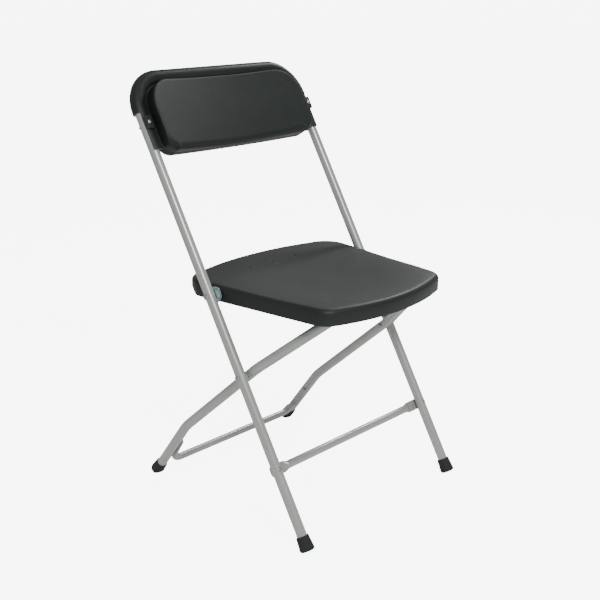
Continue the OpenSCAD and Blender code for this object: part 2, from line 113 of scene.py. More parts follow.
sky = bpy.data.worlds.new("studio")
sky.use_nodes = True
sky_shade = sky.node_tree.nodes["Background"]
sky_shade.inputs["Color"].default_value = (1.0, 1.0, 0.995, 1)
sky.node_tree.links.new(seen_directly(sky.node_tree, SKY_LIGHT, BACKDROP_GLOW + 0.6),
                        sky_shade.inputs["Strength"])
bpy.context.scene.world = sky
soft_lamp("key_lamp", (-0.9, -1.9, 2.3), (0, 0, 0.4), 0.7, 42)
soft_lamp("rim_lamp", (1.9, 0.5, 2.0), (0, 0, 0.5), 0.6, 24)


# ---- Front frame tube -----------------------------------------------------------------
# One 19 mm steel tube bent into a tall inverted U and powder coated silver grey. Its bow
# is hidden inside the backrest.
TUBE_R = 9.5
UPRIGHT_X = 211.0
UPRIGHT_LEAN = math.radians(29.8)
FRONT_FOOT_Y = -218.0
TUBE_START = 8.0
BOW_TOP = 908.0
BOW_BEND_R = 65.0
ALONG = Vector((0, math.sin(UPRIGHT_LEAN), math.cos(UPRIGHT_LEAN)))
FORWARD = Vector((0, -math.cos(UPRIGHT_LEAN), math.sin(UPRIGHT_LEAN)))
ACROSS = Vector((1, 0, 0))


def on_uprights(x, t, n):
    """A point x across, t along the uprights and n forward of them."""
    return Vector((x, FRONT_FOOT_Y, 0)) + ALONG * t + FORWARD * n


def new_group(name, inputs, outputs):
    """An empty shader group with named float inputs and typed outputs."""
    group = bpy.data.node_groups.new(name, "ShaderNodeTree")
    for label, value in inputs:
        socket = group.interface.new_socket(label, in_out="INPUT", socket_type="NodeSocketFloat")
        socket.default_value = value
    for label, kind in outputs:
        group.interface.new_socket(label, in_out="OUTPUT", socket_type=kind)
    return group, group.nodes.new("NodeGroupInput"), group.nodes.new("NodeGroupOutput")


def noise(tree, scale, detail):
    made = tree.nodes.new("ShaderNodeTexNoise")
    made.inputs["Scale"].default_value = scale
    made.inputs["Detail"].default_value = detail
    tree.links.new(tree.nodes.new("ShaderNodeTexCoord").outputs["Object"], made.inputs["Vector"])
    return made


def math_node(tree, operation, first, second):
    made = tree.nodes.new("ShaderNodeMath")
    made.operation = operation
    for i, value in enumerate((first, second)):
        if isinstance(value, (int, float)):
            made.inputs[i].default_value = value
        else:
            tree.links.new(value, made.inputs[i])
    return made.outputs[0]


# Broad, faint unevenness of a coat or moulding: a mask around 0.5 for colour and gloss
mottle_group, g_in, g_out = new_group("mottle", [("Scale", 20.0), ("Contrast", 1.0)],
                                      [("Mask", "NodeSocketFloat")])
g_noise = noise(mottle_group, 1, 4)
mottle_group.links.new(g_in.outputs["Scale"], g_noise.inputs["Scale"])
g_spread = math_node(mottle_group, "MULTIPLY",
                     math_node(mottle_group, "SUBTRACT", g_noise.outputs["Fac"], 0.5),
                     g_in.outputs["Contrast"])
mottle_group.links.new(math_node(mottle_group, "ADD", g_spread, 0.5), g_out.inputs["Mask"])

# Fine all-over grain: a height made of two sizes of bumps
grain_group, g_in, g_out = new_group("grain", [("Scale", 900.0), ("Coarse Share", 0.4)],
                                     [("Height", "NodeSocketFloat")])
g_fine = noise(grain_group, 1, 2)
g_coarse = noise(grain_group, 1, 2)
grain_group.links.new(g_in.outputs["Scale"], g_fine.inputs["Scale"])
grain_group.links.new(math_node(grain_group, "MULTIPLY", g_in.outputs["Scale"], 0.28),
                      g_coarse.inputs["Scale"])
g_sum = math_node(grain_group, "ADD", g_fine.outputs["Fac"],
                  math_node(grain_group, "MULTIPLY", g_coarse.outputs["Fac"],
                            g_in.outputs["Coarse Share"]))
grain_group.links.new(g_sum, g_out.inputs["Height"])

# Painted highlight on convex edges: a mask that is 1 on sharp outer corners, broken up by noise
edge_highlight_group, g_in, g_out = new_group("painted_edge_highlight", [("Start", 0.53), ("Width", 0.06)],
                                    [("Mask", "NodeSocketFloat")])
g_point = edge_highlight_group.nodes.new("ShaderNodeNewGeometry")
g_break = noise(edge_highlight_group, 160, 3)
g_over = math_node(edge_highlight_group, "SUBTRACT", g_point.outputs["Pointiness"], g_in.outputs["Start"])
g_ratio = edge_highlight_group.nodes.new("ShaderNodeMath")
g_ratio.operation = "DIVIDE"
g_ratio.use_clamp = True
edge_highlight_group.links.new(g_over, g_ratio.inputs[0])
edge_highlight_group.links.new(g_in.outputs["Width"], g_ratio.inputs[1])
edge_highlight_group.links.new(math_node(edge_highlight_group, "MULTIPLY", g_ratio.outputs[0], g_break.outputs["Fac"]),
                     g_out.inputs["Mask"])


def placed(tree, group, **values):
    made = tree.nodes.new("ShaderNodeGroup")
    made.node_tree = group
    for label, value in values.items():
        made.inputs[label.replace("_", " ")].default_value = value
    return made


def mixed(tree, mask, dark, light):
    """A colour between two, by a mask."""
    made = tree.nodes.new("ShaderNodeMix")
    made.data_type = "RGBA"
    tree.links.new(mask, made.inputs["Factor"])
    if isinstance(dark, tuple):
        made.inputs[6].default_value = (*dark, 1)
    else:
        tree.links.new(dark, made.inputs[6])
    made.inputs[7].default_value = (*light, 1)
    return made.outputs[2]


def ranged(tree, mask, low, high):
    """A mask stretched from 0..1 to low..high."""
    made = tree.nodes.new("ShaderNodeMapRange")
    made.inputs["To Min"].default_value = low
    made.inputs["To Max"].default_value = high
    tree.links.new(mask, made.inputs["Value"])
    return made.outputs["Result"]


def finish_material(name, dark, light, highlight_colour, gloss, mottle_scale, grain_scale, grain_depth,
                    coarse=0.4, **shader_values):
    """A finish: two close tones by mottle, a painted highlight on sharp edges, uneven gloss and a fine
    grain.
    """
    material = bpy.data.materials.new(name)
    material.use_nodes = True
    tree = material.node_tree
    shader = tree.nodes["Principled BSDF"]
    mottle = placed(tree, mottle_group, Scale=mottle_scale, Contrast=1.6)
    # The lighter colour mixed in on sharp outer edges is a painted highlight along the edges
    edge = placed(tree, edge_highlight_group)
    tone = mixed(tree, mottle.outputs["Mask"], dark, light)
    tree.links.new(mixed(tree, edge.outputs["Mask"], tone, highlight_colour), shader.inputs["Base Color"])
    tree.links.new(ranged(tree, mottle.outputs["Mask"], *gloss), shader.inputs["Roughness"])
    grain = placed(tree, grain_group, Scale=grain_scale, Coarse_Share=coarse)
    bump = tree.nodes.new("ShaderNodeBump")
    bump.inputs["Strength"].default_value = 1.0
    bump.inputs["Distance"].default_value = grain_depth
    tree.links.new(grain.outputs["Height"], bump.inputs["Height"])
    tree.links.new(bump.outputs["Normal"], shader.inputs["Normal"])
    for label, value in shader_values.items():
        shader.inputs[label.replace("_", " ")].default_value = value
    return material


# The third colour of each finish is the painted highlight on its sharp edges
frame_paint = finish_material(
    "frame_paint", (0.40, 0.425, 0.40), (0.47, 0.495, 0.465), (0.58, 0.60, 0.57), (0.28, 0.40),
    14, 1500, 0.00005, Metallic=0.35, Coat_Weight=0.5, Coat_Roughness=0.16)


def bent_line(corners, step=6.0):
    """(point, direction) pairs along corners (point, bend radius), with round bends."""
    points = [Vector(c[0]) for c in corners]
    ways = [(b - a).normalized() for a, b in zip(points, points[1:])]
    line = [(points[0], ways[0])]
    for p, before, after, (_, r) in zip(points[1:], ways, ways[1:], corners[1:]):
        turn = before.angle(after)
        inward = (after - before * before.dot(after)).normalized()
        start = p - before * (r * math.tan(turn / 2))
        count = max(2, math.ceil(math.degrees(turn) / step))
        for k in range(count + 1):
            a = turn * k / count
            line.append((start + before * (r * math.sin(a)) + inward * (r * (1 - math.cos(a))),
                         before * math.cos(a) + inward * math.sin(a)))
    line.append((points[-1], ways[-1]))
    return line


def loft(name, rings, material, body, stands_for=(), sharp=35.0):
    """A closed solid over rings of points in mm, as an object that rides on a body."""
    mesh = bpy.data.meshes.new(name)
    count = len(rings[0])
    points = [p * MM for ring in rings for p in ring]
    faces = [(i * count + j, i * count + (j + 1) % count,
              (i + 1) * count + (j + 1) % count, (i + 1) * count + j)
             for i in range(len(rings) - 1) for j in range(count)]
    faces.append(tuple(range(count))[::-1])
    faces.append(tuple((len(rings) - 1) * count + j for j in range(count)))
    mesh.from_pydata(points, [], faces)
    return settle(name, mesh, material, body, stands_for, sharp)


def settle(name, mesh, material, body, stands_for, sharp):
    """Cleans a mesh, gives it its finish and makes it a piece on a body."""
    work = bmesh.new()
    work.from_mesh(mesh)
    bmesh.ops.remove_doubles(work, verts=work.verts, dist=0.00001)
    bmesh.ops.recalc_face_normals(work, faces=work.faces)
    work.to_mesh(mesh)
    work.free()
    mesh.polygons.foreach_set("use_smooth", [True] * len(mesh.polygons))
    mesh.set_sharp_from_angle(angle=math.radians(sharp))
    mesh.materials.clear()
    mesh.materials.append(material)
    piece = add_object(name, mesh)
    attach(piece, body)
    if stands_for:
        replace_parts(piece, *stands_for)
    return piece


def joined(name, parts):
    """Several pieces made one; the first keeps its body, slot and nodes."""
    work = bmesh.new()
    for part in parts:
        work.from_mesh(part.data)
    work.to_mesh(parts[0].data)
    work.free()
    for part in parts[1:]:
        bpy.data.objects.remove(part)
    parts[0].name = name
    return parts[0]


def round_rings(line, keel, radius, sides=40):
    """Rings of a round tube along a line. keel is a direction it never runs along."""
    rings = []
    for point, way in line:
        e1 = way.cross(keel).normalized()
        e2 = way.cross(e1)
        rings.append([point + (e1 * math.cos(a) + e2 * math.sin(a)) * radius
                      for a in (math.tau * k / sides for k in range(sides))])
    return rings


front_line = bent_line([(on_uprights(-UPRIGHT_X, TUBE_START, 0), 0),
                        (on_uprights(-UPRIGHT_X, BOW_TOP, 0), BOW_BEND_R),
                        (on_uprights(UPRIGHT_X, BOW_TOP, 0), BOW_BEND_R),
                        (on_uprights(UPRIGHT_X, TUBE_START, 0), 0)])
loft("front_frame", round_rings(front_line, FORWARD, TUBE_R), frame_paint, "front_frame",
     ["front_frame_tube"])


# ---- Front stretcher ------------------------------------------------------------------
# A 15 mm tube whose ends are pressed flat and riveted to the back of the uprights. The
# flats end behind the tubes, just short of their outer sides, and have rounded corners.
STRETCHER_T = 151.7
STRETCHER_R = 7.5
FLAT_HALF_H = 10.5
FLAT_HALF_T = 2.1
FLAT_END_X = 215.8
FLAT_FROM_X = 184.0
ROUND_FROM_X = 173.0
FLAT_CORNER = 5.0
STRETCHER_N = -TUBE_R - FLAT_HALF_T


def ease(x):
    x = min(1.0, max(0.0, x))
    return x * x * (3 - 2 * x)


def pressed_section(half_h, half_t, square, sides=48):
    """Points (t, n) of a section that runs from round (square 0) to flat-sided (square 1)."""
    power = 1.0 - 0.62 * square
    section = []
    for k in range(sides):
        c, s = math.cos(math.tau * k / sides), math.sin(math.tau * k / sides)
        section.append((half_h * math.copysign(abs(c) ** power, c),
                        half_t * math.copysign(abs(s) ** power, s)))
    return section


def stretcher_ring(x):
    flat = ease((abs(x) - ROUND_FROM_X) / (FLAT_FROM_X - ROUND_FROM_X))
    half_h = STRETCHER_R + (FLAT_HALF_H - STRETCHER_R) * flat
    half_t = STRETCHER_R + (FLAT_HALF_T - STRETCHER_R) * flat
    past = abs(x) - (FLAT_END_X - FLAT_CORNER)
    if past > 0:
        half_h -= FLAT_CORNER - math.sqrt(max(0.0, FLAT_CORNER ** 2 - past ** 2))
    return [on_uprights(x, STRETCHER_T + t, STRETCHER_N + n)
            for t, n in pressed_section(half_h, half_t, flat)]


end_steps = [FLAT_END_X - FLAT_CORNER * (1 - math.sin(math.radians(a)))
             for a in (0, 20, 40, 60, 80, 90)]
taper_steps = [ROUND_FROM_X + (FLAT_FROM_X - ROUND_FROM_X) * k / 12 for k in range(13)]
half_steps = [0, 60, 120, 160] + taper_steps + [200] + end_steps
stretcher_steps = [-x for x in reversed(half_steps[1:])] + half_steps
loft("front_stretcher_bar", [stretcher_ring(x) for x in stretcher_steps], frame_paint,
     "front_frame", ["front_stretcher"], sharp=50)

# Domed rivet heads, painted over with the frame
rivet_paint = finish_material(
    "rivet_paint", (0.38, 0.39, 0.37), (0.44, 0.45, 0.43), (0.6, 0.6, 0.59), (0.26, 0.36),
    40, 1800, 0.00004, Metallic=0.7)


def revolved(name, place, axis, profile, material, body, stands_for=(), sides=40):
    """A turned solid: profile is (radius, distance along axis) pairs from one end to the other."""
    side = axis.orthogonal().normalized()
    other = axis.cross(side)
    rings = [[place + axis * d + (side * math.cos(a) + other * math.sin(a)) * max(r, 0.01)
              for a in (math.tau * k / sides for k in range(sides))]
             for r, d in profile]
    return loft(name, rings, material, body, stands_for)


def dome(radius, height, rim, steps=8):
    """Profile of a domed head with a short straight rim, its flat side at 0."""
    return [(radius, 0.0)] + [(radius * math.cos(a), rim + height * math.sin(a))
                              for a in (math.pi / 2 * k / steps for k in range(steps + 1))]


HEAD_SINK = 1.4
STRETCHER_HEAD_R = 4.4
STRETCHER_HEAD_H = 1.7


def rivet_pair(name, places, body, material, node, radius, height):
    """Domed heads at (place, outward axis) pairs, as one piece that stands for a node."""
    heads = [revolved(f"{name}_{i}", place - axis * HEAD_SINK, axis, dome(radius, height, HEAD_SINK),
                      material, body)
             for i, (place, axis) in enumerate(places)]
    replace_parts(joined(name, heads), node)


rivet_pair("stretcher_rivet_heads",
           [(on_uprights(side * UPRIGHT_X, STRETCHER_T, TUBE_R - 0.2), FORWARD) for side in (-1, 1)]
           + [(on_uprights(side * UPRIGHT_X, STRETCHER_T, STRETCHER_N - FLAT_HALF_T), -FORWARD)
              for side in (-1, 1)],
           "front_frame", rivet_paint, "front_stretcher_rivets",
           STRETCHER_HEAD_R, STRETCHER_HEAD_H)


# ---- Rubber feet ----------------------------------------------------------------------
# Moulded black rubber cups pushed over the tube ends, with a softly rounded sole that has
# worn flat where it meets the floor.
FOOT_R = 12.0
FOOT_LOW_R = 14.0
FOOT_LEN = 28.0
SOLE_ROUND = 3.5
foot_rubber = finish_material(
    "foot_rubber", (0.016, 0.021, 0.020), (0.026, 0.032, 0.030), (0.05, 0.056, 0.053), (0.62, 0.8),
    60, 1300, 0.00010, Specular_IOR_Level=0.35)


def rubber_foot(name, floor_point, axis, start, body, node):
    """A cup round a tube end, worn flat at the floor. start is where its sole begins."""
    profile = [(FOOT_LOW_R - SOLE_ROUND, start)]
    profile += [(FOOT_LOW_R - SOLE_ROUND * (1 - math.sin(a)), start + SOLE_ROUND * (1 - math.cos(a)))
                for a in (math.pi / 2 * k / 6 for k in range(1, 7))]
    profile += [(FOOT_R, start + FOOT_LEN - 3.2), (FOOT_R - 0.3, start + FOOT_LEN - 1.0),
                (FOOT_R - 1.0, start + FOOT_LEN - 0.2), (TUBE_R + 0.6, start + FOOT_LEN),
                (TUBE_R + 0.02, start + FOOT_LEN - 0.5), (TUBE_R + 0.02, start + FOOT_LEN - 4)]
    cup = revolved(name, floor_point, axis, profile, foot_rubber, body, [node], sides=56)
    for vertex in cup.data.vertices:
        vertex.co.z = max(vertex.co.z, 0.0)


for side, word in ((-1, "left"), (1, "right")):
    rubber_foot(f"front_foot_cup_{word}", on_uprights(side * UPRIGHT_X, 0, 0), ALONG, 1.0,
                "front_frame", f"front_foot_{word}")


# ---- Rear legs ------------------------------------------------------------------------
# One bent tube: both legs and the crossbar under the seat. Each leg kicks down at its knee
# and turns inward above the cross pivot.
CROSS_T = 327.5
REAR_X = 190.5
REAR_SLOPE = math.radians(40.8)
KICK_SLOPE = math.radians(52.6)
KNEE_DOWN = 239.0
WAIST_UP = 25.0
CROSSBAR_UP = 188.5
WAIST_ANGLE = math.radians(24)
KNEE_R = 120.0
WAIST_R = 60.0
CROSSBAR_R = 35.0
cross_pivot = on_uprights(0, CROSS_T, 0)
LEG_UP = Vector((0, -math.cos(REAR_SLOPE), math.sin(REAR_SLOPE)))
LEG_NORMAL = Vector((0, math.sin(REAR_SLOPE), math.cos(REAR_SLOPE)))
KICK_UP = Vector((0, -math.cos(KICK_SLOPE), math.sin(KICK_SLOPE)))
crossbar_half = REAR_X - math.tan(WAIST_ANGLE) * (CROSSBAR_UP - WAIST_UP)


def on_rear_legs(x, up):
    return cross_pivot + ACROSS * x + LEG_UP * up


knee = on_rear_legs(0, -KNEE_DOWN)
kick_len = knee.z / math.sin(KICK_SLOPE)
rear_floor = knee - KICK_UP * kick_len
half_leg = [(rear_floor + KICK_UP * TUBE_START, 0), (knee, KNEE_R),
            (on_rear_legs(0, WAIST_UP), WAIST_R)]
rear_corners = [(p - ACROSS * REAR_X, r) for p, r in half_leg]
rear_corners += [(on_rear_legs(-crossbar_half, CROSSBAR_UP), CROSSBAR_R),
                 (on_rear_legs(crossbar_half, CROSSBAR_UP), CROSSBAR_R)]
rear_corners += [(p + ACROSS * REAR_X, r) for p, r in reversed(half_leg)]
loft("rear_legs_tube", round_rings(bent_line(rear_corners, 4.0), LEG_NORMAL, TUBE_R), frame_paint,
     "rear_legs", ["rear_leg_frame"])

for side, word in ((-1, "left"), (1, "right")):
    rubber_foot(f"rear_foot_cup_{word}", rear_floor + ACROSS * (side * REAR_X), KICK_UP, 2.0,
                "rear_legs", f"rear_foot_{word}")


# ---- Rear stretcher -------------------------------------------------------------------
# A 14.5 mm bar across the back, turned up at both ends. The tips are pressed flat and
# welded to the inner faces of the legs.
BAR_R = 7.25
BAR_TURN_R = 24.0
BAR_SLOPE = math.radians(57)
TIP_HALF_T = 1.8
TIP_HALF_W = 7.5
TIP_TOP = 73.0
TIP_ROUND = 6.0
BAR_BEHIND_KNEE = 68.0
BAR_Z = 27.0
TIP_PRESS_FROM = 18.0
TIP_PRESS_TO = 34.0
bar_origin = knee + Vector((0, BAR_BEHIND_KNEE, BAR_Z - knee.z))
BAR_UP = Vector((0, -math.cos(BAR_SLOPE), math.sin(BAR_SLOPE)))
BAR_NORMAL = ACROSS.cross(BAR_UP)
bar_x = REAR_X - TUBE_R - BAR_R - 0.1
tip_face_x = REAR_X - TUBE_R - 0.1


def bar_ring(point, way, up):
    """A ring of the bar: round below, pressed flat against the leg above."""
    flat = ease((up - TIP_PRESS_FROM) / (TIP_PRESS_TO - TIP_PRESS_FROM))
    half_w = BAR_R + (TIP_HALF_W - BAR_R) * flat
    past = up - (TIP_TOP - TIP_ROUND)
    if past > 0:
        half_w *= math.sqrt(max(0.03, 1 - (past / TIP_ROUND) ** 2))
    half_t = BAR_R + (TIP_HALF_T - BAR_R) * flat
    outward = BAR_NORMAL.cross(way).normalized()
    shift = ACROSS * math.copysign((tip_face_x - TIP_HALF_T - bar_x) * flat, point.x)
    return [point + shift + BAR_NORMAL * w + outward * t
            for w, t in pressed_section(half_w, half_t, flat)]


tip_levels = [TIP_TOP, TIP_TOP - 0.7, TIP_TOP - 2, TIP_TOP - 4, TIP_TOP - TIP_ROUND, 60, 50, 40]
tip_levels += [TIP_PRESS_TO - 2 * k for k in range(9)]
bar_bend = bent_line([(bar_origin + ACROSS * -bar_x + BAR_UP * TIP_TOP, 0),
                      (bar_origin + ACROSS * -bar_x, BAR_TURN_R),
                      (bar_origin + ACROSS * bar_x, BAR_TURN_R),
                      (bar_origin + ACROSS * bar_x + BAR_UP * TIP_TOP, 0)])[1:-1]
bar_rings = [bar_ring(bar_origin + ACROSS * -bar_x + BAR_UP * up, -BAR_UP, up)
             for up in tip_levels if up > BAR_TURN_R]
bar_rings += [bar_ring(p, way, (p - bar_origin).dot(BAR_UP)) for p, way in bar_bend]
bar_rings += [bar_ring(bar_origin + ACROSS * bar_x + BAR_UP * up, BAR_UP, up)
              for up in reversed(tip_levels) if up > BAR_TURN_R]
loft("rear_stretcher_bar", bar_rings, frame_paint, "rear_legs", ["rear_stretcher"],
     sharp=50)


# ---- Pivots ---------------------------------------------------------------------------
# Domed rivets run through both tubes at the cross and through the upright and the seat.
# The cross has a short nylon spacer; the seat has a cupped, blue zinc plated one.
SEAT_T = 484.0
seat_pivot = on_uprights(0, SEAT_T, 0)
BRACKET_X = 187.8
BRACKET_T = 2.0
HEAD_R = 6.0
HEAD_H = 2.6
HEAD_RIM = 0.4
SPACER_R = 6.5
FLANGE_R = 14.5
SEAT_SIDE_X = 195.5
GAP = 0.3
BORE_R = 3.3
pivot_nylon = finish_material(
    "pivot_nylon", (0.22, 0.23, 0.215), (0.30, 0.31, 0.29), (0.4, 0.4, 0.38), (0.4, 0.55),
    50, 1200, 0.00005)
zinc_plate = finish_material(
    "zinc_plate", (0.28, 0.45, 0.47), (0.42, 0.58, 0.58), (0.62, 0.70, 0.70), (0.24, 0.42),
    90, 2200, 0.00004, Metallic=0.85)


def through_rivet(name, pivot, inner_x, node):
    outer = UPRIGHT_X + TUBE_R + HEAD_RIM
    places = []
    for side in (-1, 1):
        places.append((pivot + ACROSS * (side * outer), ACROSS * side))
        places.append((pivot + ACROSS * (side * inner_x), ACROSS * -side))
    rivet_pair(name, places, "front_frame", rivet_paint, node, HEAD_R, HEAD_H)


through_rivet("cross_rivet_heads", cross_pivot, REAR_X - TUBE_R - GAP, "cross_pivot_rivets")
through_rivet("seat_rivet_heads", seat_pivot, BRACKET_X - BRACKET_T - GAP, "seat_pivot_rivets")

for side, word in ((-1, "left"), (1, "right")):
    outward = ACROSS * side
    inner = REAR_X + TUBE_R + GAP
    revolved(f"cross_spacer_{word}", cross_pivot + outward * inner, outward,
             [(BORE_R, 0), (SPACER_R - 0.4, 0), (SPACER_R, 0.4), (SPACER_R, 3.4), (BORE_R, 3.4)],
             pivot_nylon, "front_frame", [f"cross_pivot_spacer_{word}"])
    hub = UPRIGHT_X - TUBE_R - GAP - SEAT_SIDE_X
    revolved(f"seat_spacer_{word}", seat_pivot + outward * SEAT_SIDE_X, outward,
             [(BORE_R, 0), (FLANGE_R - 0.4, 0), (FLANGE_R, 0.4), (FLANGE_R, 1.2),
              (FLANGE_R - 0.5, 1.6), (FLANGE_R - 1.6, 1.5), (12.0, 1.1), (11.0, 1.5), (9.6, 3.0),
              (8.4, 4.4), (7.4, hub - 0.3), (6.9, hub), (BORE_R, hub)],
             zinc_plate, "seat", [f"seat_pivot_spacer_{word}"], sides=56)


# ---- Seat -----------------------------------------------------------------------------
# One charcoal polypropylene moulding: a dished top with a rounded rim, a deep skirt that
# is shallower along the rear, three small drain holes and a grid of ribs below.
SEAT_FALL = math.radians(1.15)
SKIRT_H = 29.8
RIM_UP = 17.0
DISH = 13.0
DISH_HALF_X = 185.0
DISH_HALF_Y = 178.0
WALL = 3.0
FACE_STEPS = 22
SHOULDER_R = 7.0
FRONT_ROLL = 3.0
REAR_CUTAWAY = 11.0
FIN_HALF_T = 1.0
FIN_DEPTH = 5.0
DRAIN_X = 63.0
DRAIN_Y = 48.0
DRAIN_R = 2.2
SPOT_FACE_AT = 9.8
SPOT_FACE_R = FLANGE_R + 0.2
SEAT_FRONT = -268.6
SEAT_REAR = 112.9
SEAT_CORNERS = [(0, SEAT_FRONT - 25.6, 420), (166.4, SEAT_FRONT + 33.3, 37),
                (204.9, SEAT_REAR - 32.5, 48), (0, SEAT_REAR + 15.5, 570)]
SEAT_BACK = Vector((0, math.cos(SEAT_FALL), math.sin(SEAT_FALL)))
SEAT_UP = Vector((0, -math.sin(SEAT_FALL), math.cos(SEAT_FALL)))
charcoal = finish_material(
    "charcoal_plastic", (0.0100, 0.0145, 0.0130), (0.0150, 0.0200, 0.0182), (0.050, 0.060, 0.056),
    (0.42, 0.54), 9, 1100, 0.00012, coarse=0.8, Specular_IOR_Level=0.35)


def on_seat(x, y, z):
    return seat_pivot + ACROSS * x + SEAT_BACK * y + SEAT_UP * z


def rounded_outline(half, spacing=7.0):
    """(point, outward normal) pairs in 2D round a shape given by its middle and right corners."""
    corners = list(half) + [(-x, y, r) for x, y, r in reversed(half[1:-1])]
    count = len(corners)
    arcs = []
    for i, (x, y, r) in enumerate(corners):
        p = Vector((x, y))
        before = (p - Vector(corners[i - 1][:2])).normalized()
        after = (Vector(corners[(i + 1) % count][:2]) - p).normalized()
        turn = before.angle(after)
        left = Vector((-before.y, before.x))
        centre = p - before * (r * math.tan(turn / 2)) + left * r
        steps = max(6, math.ceil(r * turn / spacing))
        for k in range(steps + 1):
            a = turn * k / steps
            spoke = Vector((-left.x * math.cos(a) + left.y * math.sin(a),
                            -left.x * math.sin(a) - left.y * math.cos(a)))
            arcs.append((centre + spoke * r, spoke))
    full = []
    for (p, n), (q, m) in zip(arcs, arcs[1:] + arcs[:1]):
        full.append((p, n))
        parts = int((q - p).length / spacing)
        full += [(p.lerp(q, k / parts), n.lerp(m, k / parts).normalized()) for k in range(1, parts)]
    return full


def shell_rings(edge, middle, shoulder, top, foot, place):
    """Rings of a moulded tray: face, rounded shoulder, outer wall, then the same inside.
    shoulder(x, y) is the rounding there; top and foot give heights; place maps to space."""
    def ring(inset, shrink, height):
        made = []
        for p, n in edge:
            q = p - n * inset(p.x, p.y)
            q = middle + (q - middle) * shrink
            made.append(place(q.x, q.y, height(q.x, q.y)))
        return made

    shares = [0.02 + 0.98 * (k / FACE_STEPS) for k in range(FACE_STEPS)]
    rings = [ring(shoulder, s, top) for s in shares]
    for k in range(9):
        a = math.radians(90 - 90 * k / 8)
        rings.append(ring(lambda x, y: shoulder(x, y) * (1 - math.cos(a)), 1,
                          lambda x, y: top(x, y) - shoulder(x, y) * (1 - math.sin(a))))
    rings.append(ring(lambda x, y: 0, 1, lambda x, y: foot(x, y) + 1.0))
    rings.append(ring(lambda x, y: 0.3, 1, lambda x, y: foot(x, y) + 0.3))
    rings.append(ring(lambda x, y: 1.0, 1, foot))
    rings.append(ring(lambda x, y: WALL - 0.5, 1, foot))
    rings.append(ring(lambda x, y: WALL, 1, lambda x, y: foot(x, y) + 0.5))
    for k in range(5):
        a = math.radians(90 * k / 4)
        rings.append(ring(lambda x, y: WALL + (shoulder(x, y) - WALL) * (1 - math.cos(a)), 1,
                          lambda x, y: top(x, y) - WALL - (shoulder(x, y) - WALL) * (1 - math.sin(a))))
    rings += [ring(shoulder, s, lambda x, y: top(x, y) - WALL) for s in reversed(shares)]
    return rings


seat_edge = rounded_outline(SEAT_CORNERS)
seat_middle = Vector((0, (SEAT_CORNERS[0][1] + SEAT_CORNERS[3][1]) / 2))


def seat_top(x, y):
    off = math.hypot(x / DISH_HALF_X, (y - seat_middle.y) / DISH_HALF_Y)
    return RIM_UP - DISH * ease(1.15 - off)


def seat_shoulder(x, y):
    """The rim is rounder along the front, where the legs rest."""
    return SHOULDER_R + FRONT_ROLL * ease((-y - 150) / 70)


def seat_foot(x, y):
    return RIM_UP - SKIRT_H + REAR_CUTAWAY * ease((y - 50) / 18)


def drilled(piece, place, axis, radius, reach):
    """Cuts a round hole into a piece."""
    drill = bmesh.new()
    turn = axis.to_track_quat("Z", "Y").to_matrix().to_4x4()
    bmesh.ops.create_cone(drill, cap_ends=True, segments=24, radius1=radius * MM, radius2=radius * MM,
                          depth=2 * reach * MM, matrix=Matrix.Translation(place * MM) @ turn)
    drill_mesh = bpy.data.meshes.new("drill")
    drill.to_mesh(drill_mesh)
    drill.free()
    cutter = add_object("drill", drill_mesh)
    cut = piece.modifiers.new("drill", "BOOLEAN")
    cut.operation = "DIFFERENCE"
    cut.solver = "EXACT"
    cut.object = cutter
    bpy.context.view_layer.update()
    seen = piece.evaluated_get(bpy.context.evaluated_depsgraph_get())
    result = bpy.data.meshes.new_from_object(seen)
    piece.modifiers.clear()
    piece.data = result
    bpy.data.objects.remove(cutter)


seat_rings = shell_rings(seat_edge, seat_middle, seat_shoulder, seat_top, seat_foot, on_seat)
seat_moulding = loft("seat_moulding", seat_rings, charcoal, "seat",
                     ["seat_shell"], sharp=50)
for x in (-DRAIN_X, 0, DRAIN_X):
    drilled(seat_moulding, on_seat(x, DRAIN_Y, RIM_UP), SEAT_UP, DRAIN_R, 2 * RIM_UP)
for side in (-1, 1):
    spot = seat_pivot + ACROSS * (side * (SEAT_SIDE_X + SPOT_FACE_AT))
    drilled(seat_moulding, spot, ACROSS, SPOT_FACE_R, 10)


def underside(x, y):
    return seat_top(x, y) - WALL + 0.4


def fin(points):
    """A thin rib that hangs from the underside along a line of (x, y) points."""
    heading = (Vector(points[-1]) - Vector(points[0])).normalized()
    side = Vector((-heading.y, heading.x)) * FIN_HALF_T
    return loft("fin", [[on_seat(x + side.x * s, y + side.y * s, underside(x, y) - drop)
                         for s, drop in ((-1, 0), (1, 0), (0.7, FIN_DEPTH), (-0.7, FIN_DEPTH))]
                        for x, y in points], charcoal, "seat")


fins = [fin([(x, y) for y in range(-190, 81, 15)]) for x in (-135, -100, -40, 0, 40, 100, 135)]
fins += [fin([(x, y) for x in range(-150, 151, 15)]) for y in (-150, -90, -30, 30, 75)]
joined("seat_moulding", [seat_moulding] + fins)


# ---- Backrest front -------------------------------------------------------------------
# The front moulding: a smooth raised face that curves back at the middle, a groove round
# it, and half-round sleeves over the tube, each with a block for its rivet.
BACK_LOW_T = 755.0
FACE_HALF = 193.0
FACE_TOP_T = 894.0
FACE_FORWARD = 30.0
FACE_HOLLOW = 16.0
SLEEVE_R = TUBE_R + WALL + 0.5
SLEEVE_END_T = 766.0
PART_LINE = 3.0
BOSS_T = 817.0
BOSS_HALF_W = 8.0
BOSS_HALF_H = 12.5
BOSS_FACE = 18.0
BACK_HEAD_R = 3.7
BACK_HEAD_H = 1.3
BACK_CORNERS = [(0, BACK_LOW_T - 1.7, 8500), (FACE_HALF, BACK_LOW_T + 2.2, 26),
                (FACE_HALF, FACE_TOP_T, 55), (0, FACE_TOP_T + 1, 8000)]
back_edge = rounded_outline(BACK_CORNERS, 6.0)
back_middle = Vector((0, (BACK_CORNERS[0][1] + BACK_CORNERS[3][1]) / 2))


